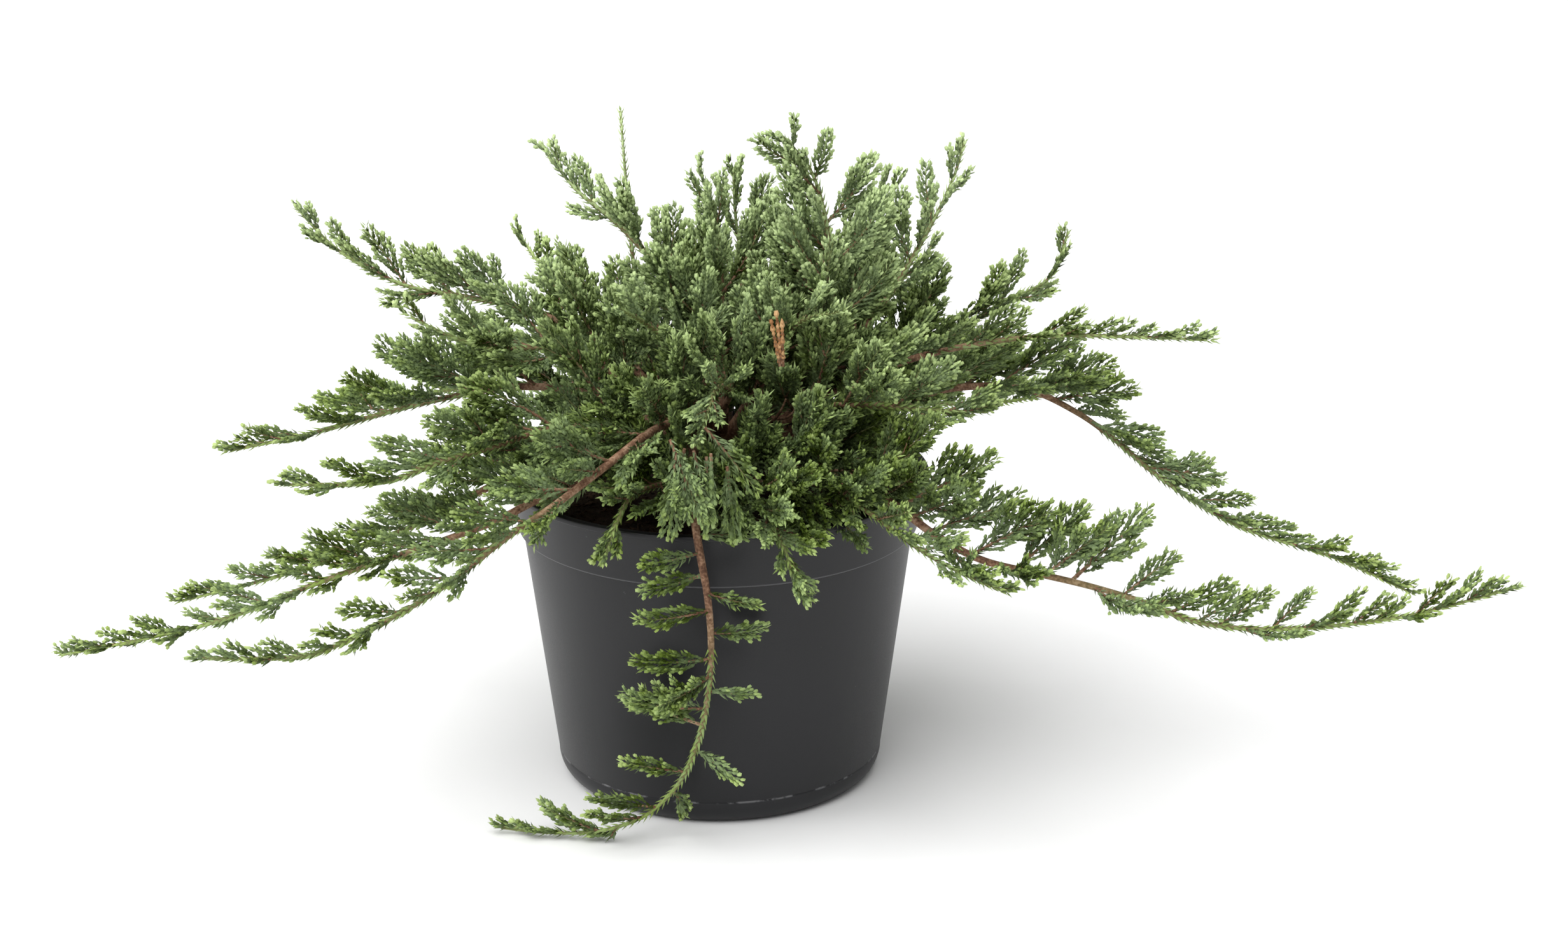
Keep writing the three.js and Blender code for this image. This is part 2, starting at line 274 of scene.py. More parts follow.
def across(directions, wanted):
    """The part of wanted that is square to directions, as unit vectors."""
    return unit(wanted - (wanted * directions).sum(-1, keepdims=True) * directions)


# %% [markdown]
# ## How a side shoot grows
# A side shoot is a flat fan, like a small feather. Its twigs leave it in turn on its two sides, lean
# forwards, and are longest halfway out. Each twig ends in a few short buds, which give it a blunt, knobbly
# tip. A large side shoot carries smaller fans of the same kind. Young tips are pale and yellow-green, and
# older leaves are dark.

# %% Grow side shoots, twigs and buds
TWIG_LEAN = math.radians(35)
BUD_LEAN = math.radians(29)
BUD_STEP = 3.0 * MM
SHORTEST_TWIG = 2.3 * MM
FLOOR_CLEAR = 3.7 * MM
LARGE_SHOOT = 34 * MM


def fan_outline(share):
    """How long the twigs are along a fan, with the longest just before the middle."""
    return 0.15 + 0.85 * np.sin(np.pi * (0.1 + 0.9 * share) ** 0.8)


def grow_buds(rng, leaves, twig, size, side, age):
    """Short buds on both sides of one twig."""
    count = int((size - 1.2 * MM) / BUD_STEP)
    if count < 1:
        return
    place = 0.3 + 0.66 * (np.arange(count) + rng.uniform(0.2, 0.9, count)) / count
    starts, along = at_share(twig, place)
    square = across(along, np.broadcast_to(side, along.shape))
    hand = np.where((np.arange(count) + rng.integers(2)) % 2, 1.0, -1.0)[:, None]
    tilt = rng.normal(0, 0.5, count)[:, None]
    square = hand * (square * np.cos(tilt) + np.cross(along, square) * np.sin(tilt))
    lengths = np.maximum(0.4 * size * (1.05 - place), 1.8 * MM) * rng.uniform(0.8, 1.2, count)
    headings = along * math.cos(BUD_LEAN) + square * math.sin(BUD_LEAN)
    youth = (0.25 + 0.75 * np.linspace(0, 1, 3)[None, :]) * (1 - 0.5 * age) * (0.45 + 0.55 * place[:, None])
    buds = arcs(starts, headings, along, lengths, 3, 0.6)
    buds[..., 2] = np.maximum(buds[..., 2], FLOOR_CLEAR)
    leaves.add(buds, youth=youth, leaf=np.linspace(0.95, 0.85, 3), kind=SCALE)


def grow_twigs(rng, leaves, axis, length, forward, age):
    """Twigs and their buds on both sides of one side shoot. age is 0 for young growth and 1 for old."""
    step = np.interp(length, [10 * MM, 45 * MM], [1.5 * MM, 2.1 * MM])
    count = max(3, int(length * 0.9 / step))
    share = 0.08 + 0.88 * (np.arange(count) + rng.uniform(0, 0.5, count)) / count
    starts, along = at_share(axis, share)
    flat = across(along, np.broadcast_to(forward, along.shape))
    out_of_flat = np.cross(along, flat)
    roll = rng.normal(0, 0.3, count)[:, None]
    hand = np.where(np.arange(count) % 2, 1.0, -1.0)[:, None]
    side = hand * (flat * np.cos(roll) + out_of_flat * np.sin(roll))
    lean = TWIG_LEAN * rng.uniform(0.8, 1.2, count)[:, None]
    headings = along * np.cos(lean) + side * np.sin(lean)
    widest = np.interp(length, [10 * MM, 20 * MM, 45 * MM], [2.8 * MM, 5.8 * MM, 16 * MM])
    reach = widest * fan_outline(share) * rng.uniform(0.75, 1.15, count)
    reach = np.maximum(reach, SHORTEST_TWIG)
    twigs = arcs(starts, headings, unit(along + 0.15 * UP), reach, 4, 0.8)
    twigs[..., 2] = np.maximum(twigs[..., 2], FLOOR_CLEAR)
    youth = (np.linspace(0, 1, 4)[None, :] ** 1.5) * (1 - 0.5 * age) * (0.4 + 0.6 * share[:, None])
    needled = rng.random((count, 1)) < 0.55 * age
    leaves.add(twigs, youth=youth, leaf=np.linspace(1.0, 0.9, 4), kind=NEEDLE * needled)
    for twig, size, turn in zip(twigs, reach, side):
        grow_buds(rng, leaves, twig, size, turn, age)


def grow_side_shoot(rng, leaves, wood, start, heading, forward, length, age, rise=0.0):
    """One side shoot: its axis, its twigs and any smaller fans it carries. rise turns its tip upwards."""
    target = unit(0.6 * (1 - rise) * forward + (0.4 + rise) * UP + 0.4 * heading)
    steps = max(4, int(length / (4 * MM)))
    axis = arcs(start[None], heading[None], target[None], [length], steps, rng.uniform(0.5, 1.0))[0]
    axis[:, 2] = np.maximum(axis[:, 2], FLOOR_CLEAR)
    share = np.linspace(0, 1, steps)
    needled = rng.random() < 0.3 + 0.5 * age
    leaves.add(axis[None], youth=(share ** 2 * (1 - 0.4 * age))[None],
               leaf=np.interp(share, [0, 1], [1.15, 0.95])[None], kind=NEEDLE * needled)
    thick = (0.35 + 12 * length) * MM
    wood.add(axis[None], thick=(thick * (1 - 0.8 * share))[None], youth=share[None])
    grow_twigs(rng, leaves, axis, length, forward, age)
    if length > LARGE_SHOOT:
        for number, place in enumerate(np.linspace(0.22, 0.62, 4) + rng.uniform(-0.04, 0.04, 4)):
            point, along = (x[0] for x in at_share(axis, np.array([place])))
            flat = across(along[None], forward[None])[0] * (1 if number % 2 else -1)
            tilt = rng.normal(0, 0.5)
            side = flat * math.cos(tilt) + np.cross(along, flat) * math.sin(tilt)
            lean = TWIG_LEAN * rng.uniform(0.8, 1.1)
            grow_side_shoot(rng, leaves, wood, point, along * math.cos(lean) + side * math.sin(lean), along,
                            min(0.55 * length * (1.15 - place), LARGE_SHOOT), 0.8 * age, rise)


# %% [markdown]
# ## How a branch grows
# Side shoots leave a branch all the way out, each at its own place in a rank of angles: on its upper side,
# all round it, or mostly on one side. They are longest near the crown. Towards the tip they shrink and lean
# forwards, so that most branches end in a slim feather.

# %% Grow side shoots along a branch
RANKS_ON_TOP = np.radians([-48, 40, -8, 74, -78, 18])
RANKS_ALL_ROUND = np.radians([-62, 58, 4, -118, 124, -26])
RANKS_LEANING = np.radians([72, 38, -66, 92, 12, -84])
RANKS_ONE_SIDE = np.radians([4, -28, 150, 22, -150, 12, 34, 170])
RANKS_BOTH_SIDES = np.radians([-60, 70, 130, -20, 40, -125])


def grow_branch(rng, leaves, wood, route, thick, above, longest, ranks, spacing, blunt, old, shoots_end,
                lean, rise, taper, bare):
    """Fills leaves and wood for one branch. thick is its radius at the foot and the tip, above is its leafy
    side, longest and spacing are in mm, and blunt is how broad the last side shoots keep its tip. No side
    shoot leaves beyond the share shoots_end, and old is the age of the growth at the foot. lean is the angle
    of the side shoots in degrees at the foot, beyond the middle and at the tip, rise turns them upwards, and
    taper is how fast they shrink outwards. The stem itself has no leaves on the share bare of its length."""
    lengths = np.linalg.norm(np.diff(route, axis=0), axis=1)
    whole = lengths.sum()
    share_at = np.concatenate([[0], np.cumsum(lengths)]) / whole
    radius = thick[1] + (thick[0] - thick[1]) * (1 - share_at) ** 1.3
    wood.add(route[None], thick=radius[None], youth=share_at[None])
    clothed = share_at >= bare
    leafy, leafy_share = route[clothed], share_at[clothed]
    leafy[:, 2] = np.maximum(leafy[:, 2], FLOOR_CLEAR)
    leaves.add(leafy[None], youth=(0.3 + 0.5 * leafy_share)[None],
               leaf=np.interp(leafy_share, [0, 0.75, 0.95, 1], [1.25, 1.0, 0.8, 0.75])[None], kind=STEM_LEAF)
    share, made = 0.02, 0
    while share < shoots_end:
        point, along = (x[0] for x in at_share(route, np.array([share])))
        top = across(along[None], above[None])[0]
        beside = np.cross(top, along)
        turn = ranks[made % len(ranks)] + rng.normal(0, 0.2)
        outward = top * math.cos(turn) + beside * math.sin(turn)
        angle = math.radians(np.interp(share, [0, 0.6, 1], lean)) * rng.uniform(0.85, 1.15)
        heading = along * math.cos(angle) + outward * math.sin(angle)
        envelope = np.interp(share, [0, 0.12, 0.4, 0.65, 0.85, 1], [0.85, 1, 0.82, 0.55, 0.42, 0.3]) ** taper
        size = longest * MM * envelope * rng.uniform(0.75, 1.15) * (1 - 0.3 * (abs(turn) > 1.8))
        size = min(size, blunt * (1 - share) * whole + 5 * MM)
        age = old * np.interp(share, [0, 0.4, 1], [1, 0.5, 0]) * rng.uniform(0.6, 1.2)
        grow_side_shoot(rng, leaves, wood, point, heading, along, size, min(age, 1.0),
                        rise * (1 - 0.8 * share))
        crowding = np.interp(share, [0, 0.3, 0.75, 1], [0.8, 1, 1.1, 0.55])
        share += spacing * MM / whole * crowding * rng.uniform(0.75, 1.25)
        made += 1
    return made


# %% [markdown]
# ## Leaves
# A juniper has small scales pressed to its twigs and open needles on older wood, and the main stems are
# clothed in long needles that lie along them. All grow in opposite pairs, each pair a quarter turn from the
# last. A pair has only ten or twelve faces, because the plant holds many thousands of them.


# %% Make the leaf pairs
def pattern_object(name, points, faces):
    made = mesh_object(name, points, faces=faces)
    made.hide_render = True
    return made


def needle_pair(name, length, width, thickness, opening, belly):
    """Two opposite three-sided needles about the Z axis, with their roots on it."""
    points, faces = [], []
    for turn in (0.0, math.pi):
        outward, beside = level(turn), level(turn + math.pi / 2)
        grow = outward * math.sin(opening) + UP * math.cos(opening)
        back = outward * math.cos(opening) - UP * math.sin(opening)
        middle = grow * length * belly
        first = len(points)
        points += [outward * 0.1 * width, middle + back * thickness, middle - beside * width / 2,
                   middle + beside * width / 2, grow * length + back * thickness * 0.1]
        root, keel, left, right, tip = range(first, first + 5)
        faces += [(root, keel, right), (root, left, keel), (root, right, left),
                  (tip, right, keel), (tip, keel, left), (tip, left, right)]
    return pattern_object(name, points, faces)


def scale_pair(name, length, breadth, depth, fork):
    """Two scales grown together about the Z axis, which part into two blunt tips."""
    belly, tip = 0.55 * length, length
    points = [(0, 0, 0), (breadth / 2, 0, belly), (0, depth / 2, belly), (-breadth / 2, 0, belly),
              (0, -depth / 2, belly), (fork / 2, 0, tip), (-fork / 2, 0, tip)]
    faces = [(0, 2, 1), (0, 3, 2), (0, 4, 3), (0, 1, 4), (1, 2, 5), (4, 1, 5), (3, 6, 2), (4, 6, 3),
             (5, 2, 6), (6, 4, 5)]
    return pattern_object(name, points, faces)


patterns = {
    "Scale pair": scale_pair("scale_pair", 3.1 * MM, 1.85 * MM, 1.4 * MM, 1.2 * MM),
    "Needle pair": needle_pair("needle_pair", 4.2 * MM, 0.95 * MM, 0.45 * MM, math.radians(34), 0.35),
    "Stem pair": needle_pair("stem_pair", 5.0 * MM, 1.6 * MM, 0.6 * MM, math.radians(27), 0.35),
}
SCALE, NEEDLE, STEM_LEAF = 0.0, 1.0, 2.0


# %% [markdown]
# ## Helpers for node trees
# Node trees grow the leaves, the bark and the crumbs, and give every finish. These helpers start a tree with
# named inputs, join its nodes and end it.


# %% Start, join and end a node tree
def feed(socket, value):
    """Links another node's output into a socket, or sets the socket to a plain value."""
    if isinstance(value, bpy.types.NodeSocket):
        socket.id_data.links.new(value, socket)
    else:
        socket.default_value = value


def maths(operation, first, *others):
    """The output of a maths node, in the tree that the first socket belongs to."""
    made = first.id_data.nodes.new("ShaderNodeMath")
    made.operation = operation
    for socket, value in zip(made.inputs, (first, *others)):
        feed(socket, value)
    return made.outputs[0]


def empty_tree(name, kind, inputs, output):
    """A tree with only its ends. inputs is a list of (label, type, value), and output is (label, type)."""
    tree = bpy.data.node_groups.new(name, kind)
    for label, socket_type, value in inputs:
        socket = tree.interface.new_socket(label, in_out="INPUT", socket_type=socket_type)
        if value is not None:
            socket.default_value = value
    tree.interface.new_socket(output[0], in_out="OUTPUT", socket_type=output[1])
    return tree, tree.nodes.new("NodeGroupInput").outputs, tree.nodes.new("NodeGroupOutput")


def new_tree(name, inputs):
    tree, given, sink = empty_tree(name, "GeometryNodeTree", inputs, ("Geometry", "NodeSocketGeometry"))

    def node(kind, settings=None, **values):
        made = tree.nodes.new(kind)
        for key, value in (settings or {}).items():
            setattr(made, key, value)
        for key, value in values.items():
            feed([s for s in made.inputs if s.name == key.replace("_", " ") and s.enabled][0], value)
        return made

    def finish(geometry):
        """Makes every copy real, gives it the material and ends the tree."""
        real = node("GeometryNodeRealizeInstances", Geometry=geometry).outputs[0]
        coated = node("GeometryNodeSetMaterial", Geometry=real, Material=given["Material"]).outputs[0]
        feed(sink.inputs[0], coated)
        return tree

    return node, given, finish


def named(node, name):
    """The output socket of a float attribute."""
    return node("GeometryNodeInputNamedAttribute", {"data_type": "FLOAT"}, Name=name).outputs[0]


def random_value(node, low, high, seed, kind="FLOAT"):
    made = node("FunctionNodeRandomValue", {"data_type": kind}, Min=low, Max=high, Seed=seed)
    return [s for s in made.outputs if s.enabled][0]


def choice_of(node, shapes):
    """The objects of some sockets as single copies, to pick from. The last one is number 0."""
    joined = node("GeometryNodeJoinGeometry")
    for shape in shapes:
        solid = node("GeometryNodeObjectInfo", Object=shape).outputs["Geometry"]
        feed(joined.inputs[0], node("GeometryNodeGeometryToInstance", Geometry=solid).outputs[0])
    return joined.outputs[0]


def tinted(node, copies, seed):
    """The same copies, each with a tint of its own."""
    return node("GeometryNodeStoreNamedAttribute", {"data_type": "FLOAT", "domain": "INSTANCE"},
                Geometry=copies, Name="tint", Value=random_value(node, 0.0, 1.0, seed)).outputs[0]


# %% [markdown]
# ## The tree that clothes paths in leaves
# A path is resampled to even points, and each point takes one leaf pair, turned to point along the path. The
# tree reads how long, how young and how open the leaves are from the skeleton's own attributes.


# %% Build the leaf tree
def make_leaf_tree():
    node, given, finish = new_tree("clothe_in_leaves", [
        ("Paths", "NodeSocketGeometry", None),
        ("Scale pair", "NodeSocketObject", None),
        ("Needle pair", "NodeSocketObject", None),
        ("Stem pair", "NodeSocketObject", None),
        ("Pair spacing", "NodeSocketFloat", 1.7 * MM),
        ("Seed", "NodeSocketInt", 0),
        ("Material", "NodeSocketMaterial", None),
    ])
    seed = given["Seed"]
    curve = node("GeometryNodeMeshToCurve", Mesh=given["Paths"]).outputs[0]
    spaced = node("GeometryNodeResampleCurve", {"mode": "LENGTH"}, Curve=curve,
                  Length=given["Pair spacing"]).outputs[0]
    pairs = choice_of(node, (given["Stem pair"], given["Needle pair"], given["Scale pair"]))
    tangent = node("GeometryNodeInputTangent").outputs[0]
    aimed = node("FunctionNodeAlignRotationToVector", {"axis": "Z"}, Vector=tangent).outputs[0]
    quarters = maths("MULTIPLY", node("GeometryNodeInputIndex").outputs[0], math.pi / 2)
    angle = maths("ADD", quarters, random_value(node, -0.3, 0.3, seed))
    spin = node("FunctionNodeAxisAngleToRotation", Axis=(0, 0, 1), Angle=angle).outputs[0]
    facing = node("FunctionNodeRotateRotation", {"rotation_space": "LOCAL"}, Rotation=aimed,
                  Rotate_By=spin).outputs[0]
    size = maths("MULTIPLY", named(node, "leaf"), random_value(node, 0.82, 1.18, seed))
    placed = node("GeometryNodeInstanceOnPoints", Points=spaced, Instance=pairs, Pick_Instance=True,
                  Instance_Index=named(node, "kind"), Rotation=facing, Scale=size).outputs[0]
    return finish(tinted(node, placed, seed))


leaf_tree = make_leaf_tree()


# %% [markdown]
# ## The tree that wraps paths in bark
# Wood is a round tube along the same paths, as thick as the skeleton says at each point and closed at both
# ends.


# %% Build the bark tree
def make_bark_tree():
    node, given, finish = new_tree("wrap_in_bark", [
        ("Paths", "NodeSocketGeometry", None),
        ("Sides", "NodeSocketInt", 6),
        ("Material", "NodeSocketMaterial", None),
    ])
    curve = node("GeometryNodeMeshToCurve", Mesh=given["Paths"]).outputs[0]
    ring = node("GeometryNodeCurvePrimitiveCircle", {"mode": "RADIUS"}, Resolution=given["Sides"],
                Radius=1.0).outputs[0]
    tube = node("GeometryNodeCurveToMesh", Curve=curve, Profile_Curve=ring, Scale=named(node, "thick"),
                Fill_Caps=True).outputs[0]
    return finish(tube)


bark_tree = make_bark_tree()

# %% [markdown]
# ## Shared effects for the materials
# Several finishes need cloudy colour at two sizes at once. The effect is a node group that gives a mask,
# which each material uses in its own way.


# %% Build the cloudy mask
def make_clouds():
    tree, given, sink = empty_tree(
        "clouds", "ShaderNodeTree",
        [("Vector", "NodeSocketVector", None), ("Coarse", "NodeSocketFloat", 30.0),
         ("Fine", "NodeSocketFloat", 300.0), ("Fine share", "NodeSocketFloat", 0.4)],
        ("Mask", "NodeSocketFloat"))
    mix = tree.nodes.new("ShaderNodeMix")
    feed(mix.inputs[0], given["Fine share"])
    for label, socket in (("Coarse", mix.inputs[2]), ("Fine", mix.inputs[3])):
        texture = tree.nodes.new("ShaderNodeTexNoise")
        texture.inputs["Detail"].default_value = 3.0
        feed(texture.inputs["Vector"], given["Vector"])
        feed(texture.inputs["Scale"], given[label])
        feed(socket, texture.outputs[0])
    feed(sink.inputs[0], mix.outputs[0])
    return tree


clouds = make_clouds()


def new_material(name, roughness, specular):
    material = bpy.data.materials.new(name)
    material.use_nodes = True
    shader = material.node_tree.nodes["Principled BSDF"]
    shader.inputs["Roughness"].default_value = roughness
    shader.inputs["Specular IOR Level"].default_value = specular
    return material, material.node_tree, shader


def place_clouds(tree, coarse, fine, share):
    group = tree.nodes.new("ShaderNodeGroup")
    group.node_tree = clouds
    where = tree.nodes.new("ShaderNodeTexCoord").outputs["Object"]
    for key, value in (("Vector", where), ("Coarse", coarse), ("Fine", fine), ("Fine share", share)):
        feed(group.inputs[key], value)
    return group.outputs["Mask"]


def height_in(tree):
    """How high each point of a surface is, in metres."""
    parts = tree.nodes.new("ShaderNodeSeparateXYZ")
    feed(parts.inputs[0], tree.nodes.new("ShaderNodeTexCoord").outputs["Object"])
    return parts.outputs["Z"]


def float_attribute(tree, name):
    made = tree.nodes.new("ShaderNodeAttribute")
    made.attribute_name = name
    return made.outputs["Fac"]


def fade(source, low, high, at_low, at_high):
    """A value that goes from at_low to at_high while source goes from low to high."""
    made = source.id_data.nodes.new("ShaderNodeMapRange")
    for socket, value in zip(made.inputs, (source, low, high, at_low, at_high)):
        feed(socket, value)
    return made.outputs[0]


def ramp(source, stops):
    """A colour ramp. stops is a list of (place, colour)."""
    made = source.id_data.nodes.new("ShaderNodeValToRGB")
    elements = made.color_ramp.elements
    while len(elements) > 1:
        elements.remove(elements[-1])
    elements[0].position, elements[0].color = stops[0][0], (*stops[0][1], 1)
    for place, colour in stops[1:]:
        elements.new(place).color = (*colour, 1)
    feed(made.inputs[0], source)
    return made.outputs[0]


def mask(source, low, high):
    """Black where source is below low, and white where it is above high."""
    return ramp(source, [(low, (0, 0, 0)), (high, (1, 1, 1))])


def mixed(factor, first, second, blend="MIX"):
    """A colour mix. first is a socket, and the other two may be sockets or values."""
    made = first.id_data.nodes.new("ShaderNodeMix")
    made.data_type, made.blend_type = "RGBA", blend
    for socket, value in ((made.inputs[0], factor), (made.inputs[6], first), (made.inputs[7], second)):
        feed(socket, (*value, 1) if isinstance(value, tuple) else value)
    return made.outputs[2]


def bump(shader, height, strength, distance):
    made = height.id_data.nodes.new("ShaderNodeBump")
    for key, value in (("Strength", strength), ("Distance", distance), ("Height", height)):
        feed(made.inputs[key], value)
    feed(shader.inputs["Normal"], made.outputs[0])


# %% [markdown]
# ## Leaves and bark
# Leaves run from dark olive deep in the plant through a glaucous grey-green to a fresh yellow-green at the
# tips. The wax that makes them grey lies in patches. Young leaves high on the plant are painted lighter, as
# painted light from above. Bark is red-brown and flaky, and green where it is still young.


# %% Make the plant's materials
def leaf_material():
    material, tree, shader = new_material("juniper_leaf", 0.6, 0.14)
    youth = float_attribute(tree, "youth")
    by_age = ramp(youth, [(0.0, (0.028, 0.046, 0.003)), (0.35, (0.088, 0.134, 0.017)),
                          (0.7, (0.240, 0.325, 0.080)), (1.0, (0.440, 0.545, 0.210))])
    wax = mask(place_clouds(tree, 22.0, 160.0, 0.45), 0.40, 0.60)
    glaucous = mixed(wax, by_age, mixed(0.4, by_age, (0.350, 0.460, 0.260)))
    # Painted light: young leaves high on the plant are mixed towards a pale yellow-green, as if lit from above.
    painted_light_share = maths("MULTIPLY", fade(height_in(tree), 0.18, 0.27, 0.0, 1.15), youth)
    painted_top_light = mixed(painted_light_share, glaucous, (0.520, 0.640, 0.330))
    shade = ramp(float_attribute(tree, "tint"), [(0.0, (0.80, 0.81, 0.78)), (1.0, (1.16, 1.15, 1.12))])
    feed(shader.inputs["Base Color"], mixed(1.0, painted_top_light, shade, "MULTIPLY"))
    return material


def bark_material():
    material, tree, shader = new_material("juniper_bark", 0.8, 0.3)
    flakes = place_clouds(tree, 180.0, 900.0, 0.5)
    old = ramp(flakes, [(0.38, (0.085, 0.040, 0.022)), (0.5, (0.200, 0.105, 0.060)),
                        (0.62, (0.360, 0.235, 0.150))])
    young = (0.200, 0.230, 0.085)
    feed(shader.inputs["Base Color"], mixed(mask(float_attribute(tree, "youth"), 0.35, 0.8), old, young))
    bump(shader, flakes, 0.8, 0.8 * MM)
    return material


def dead_leaf_material():
    material, tree, shader = new_material("dead_leaf", 0.75, 0.15)
    colour = ramp(float_attribute(tree, "tint"), [(0.0, (0.200, 0.085, 0.035)), (0.6, (0.420, 0.210, 0.090)),
                                                  (1.0, (0.600, 0.380, 0.190))])
    feed(shader.inputs["Base Color"], colour)
    return material


leaf_finish = leaf_material()
bark_finish = bark_material()
dead_finish = dead_leaf_material()

# %% [markdown]
# ## The branches
# Each branch of the frame becomes a bark piece and a leaf piece. The leafy side of a branch is the side that
# its CAD bank of foliage lies on.


# %% Clothe the branches
def leafy_side(name):
    """The mean way from a stem to its bank of foliage."""
    bank = merged_mesh("foliage_" + name)[0]
    route = routes[name]
    nearest = np.array([route[np.argmin(np.linalg.norm(route - p, axis=1))] for p in bank])
    return unit((bank - nearest).mean(axis=0))


def clothe(name, leaves, wood, seed, replaced, names=None, finish=leaf_finish):
    """Makes the bark piece and the leaf piece of a branch, and hides the CAD nodes that they stand for."""
    bark_name, leaf_name = names or (name + "_bark", name + "_leaves")
    bark_piece = wood.to_object(bark_name)
    with_nodes(bark_piece, bark_tree, Material=bark_finish)
    settle(bark_piece, smooth=True)
    leaf_piece = leaves.to_object(leaf_name)
    with_nodes(leaf_piece, leaf_tree, Seed=seed, Material=finish, **patterns)
    settle(leaf_piece)
    for piece in (bark_piece, leaf_piece):
        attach(piece, ROOT)
    for piece, node in zip((bark_piece, leaf_piece), replaced):
        if node:
            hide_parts(node)
    return triangles(bark_piece), triangles(leaf_piece)


BRANCH_RADII = (2.2 * MM, 0.6 * MM)
SPRAY_RADII = (1.6 * MM, 0.6 * MM)
BRANCH_HABIT = dict(longest=48, ranks=RANKS_ON_TOP, spacing=9.5, blunt=0.45, old=0.5, shoots_end=0.99,
                    lean=(52, 38, 22), rise=0.0, taper=1.0, bare=0.3)
SPRAY_HABIT = BRANCH_HABIT | dict(longest=44, ranks=RANKS_ALL_ROUND, spacing=9.0, blunt=0.6, old=0.7,
                                  lean=(58, 42, 24), bare=0.12)
habits = {
    "left_low": dict(longest=40, old=1.0, ranks=RANKS_BOTH_SIDES, spacing=7.0, blunt=0.35, bare=0.4),
    "left_upper": dict(longest=42, old=0.9, spacing=8.0, blunt=0.35),
    "left_front": dict(longest=40, old=1.0, ranks=RANKS_BOTH_SIDES, spacing=7.0, blunt=0.3, bare=0.42),
    "left_mid": dict(longest=54, old=0.8),
    "left_high": dict(longest=42, blunt=0.6, taper=0.5, spacing=8.5, ranks=RANKS_BOTH_SIDES),
    "upper_left": dict(longest=46, blunt=0.65, ranks=RANKS_ALL_ROUND, old=0.2, spacing=7.0, lean=(50, 38, 24),
                       rise=-0.4),
    "top_mid": dict(longest=56, blunt=0.8, old=0.3, ranks=RANKS_ALL_ROUND),
    "top_right": dict(longest=66, blunt=1.3, old=0.2, ranks=RANKS_LEANING, spacing=7.5, lean=(58, 48, 40),
                      bare=0.55),
    "right_up": dict(longest=52, blunt=0.6, ranks=RANKS_ALL_ROUND, spacing=7.5, lean=(66, 52, 34), rise=-0.6),
    "right_high": dict(longest=54, ranks=RANKS_ALL_ROUND, spacing=8.0, lean=(64, 48, 30), rise=-0.4),
    "right_mid": dict(longest=31, old=0.8, lean=(46, 30, 20)),
    "right_arch": dict(longest=47, old=0.9, lean=(44, 30, 20), rise=-0.25, spacing=8.5, bare=0.45),
    "right_low": dict(longest=55, old=1.1, spacing=9.5, rise=0.2, lean=(68, 50, 24), taper=1.12, bare=0.52),
    "front_trail": dict(longest=39, spacing=9.5, ranks=RANKS_ONE_SIDE, old=0.9, rise=0.3, lean=(84, 78, 30),
                        taper=0.4, bare=0.42),
    "top_back": dict(longest=58, blunt=1.0), "top_right_back": dict(longest=60, blunt=1.4),
    "back_high_left": dict(blunt=0.6), "back_high_mid": dict(blunt=0.7), "back_high_right": dict(blunt=0.7),
    "left_near": dict(longest=54, rise=-0.6), "left_tuft": dict(longest=58, blunt=0.9),
    "centre_left": dict(longest=50, spacing=6.5), "centre_right": dict(longest=50, spacing=6.5),
    "front_mid": dict(longest=48, old=1.1, spacing=5.5),
    "front_left_hang": dict(longest=44, old=1.3, spacing=5.5),
    "front_right_hang": dict(longest=52, blunt=0.9, old=1.1, spacing=4.5),
    "right_small": dict(longest=48, old=0.8, spacing=7.0),
    "right_dome": dict(longest=60, blunt=1.1, spacing=7.0),
    "thin_whip": dict(longest=8, shoots_end=0.4),
}
total = 0
for seed, name in enumerate(STEM_NAMES + SPRAY_NAMES):
    rng = np.random.default_rng(100 + seed)
    leaves, wood = Skeleton(), Skeleton()
    stemmed = name in STEM_NAMES
    habit = (BRANCH_HABIT if stemmed else SPRAY_HABIT) | habits.get(name, {})
    above = leafy_side(name) if stemmed else UP + 0.01
    radii = BRANCH_RADII if stemmed else SPRAY_RADII
    made = grow_branch(rng, leaves, wood, routes[name], radii, above, **habit)
    nodes = ("stem_" + name, "foliage_" + name) if stemmed else (None, "spray_" + name)
    counts = clothe(name, leaves, wood, seed, nodes)
    total += sum(counts)
    print("branch" if stemmed else "spray", name, made, "side shoots,", counts, "triangles")
print("plant", total, "triangles")

# %% [markdown]
# ## The woody crown
# Under the leaves, the branches fork from one short trunk. Each limb runs from the fork to the place where
# the frame's branch begins.

# %% Wrap the crown in bark
TRUNK_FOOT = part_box("root_crown")[0].z
crown_wood = Skeleton()
LIMB_POINTS = 7
trunk_line = np.array([[0, 0, TRUNK_FOOT], [0.4 * MM, 0, RIM_HEIGHT - 12 * MM],
                       [-0.6 * MM, 0.5 * MM, RIM_HEIGHT - 4 * MM], CROWN_FORK])
crown_wood.add(trunk_line[None], thick=np.array([[8, 8.4, 7, 4.5]]) * MM, youth=0.0)
for route in routes.values():
    toward = unit(route[1] - route[0])
    span = np.linalg.norm(route[0] - CROWN_FORK)
    limb = arcs(CROWN_FORK[None], unit(route[0] - CROWN_FORK + 0.2 * span * UP)[None], toward[None],
                [span], LIMB_POINTS, 0.2)[0]
    limb += np.linspace(0, 1, LIMB_POINTS)[:, None] * (route[0] - limb[-1])
    crown_wood.add(limb[None], thick=np.linspace(4.2, 2.6, LIMB_POINTS)[None] * MM, youth=0.0)
crown_piece = crown_wood.to_object("crown_bark")
with_nodes(crown_piece, bark_tree, Sides=10, Material=bark_finish)
settle(crown_piece, smooth=True)
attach(crown_piece, ROOT)
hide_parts("root_crown")
print("crown", triangles(crown_piece), "triangles")

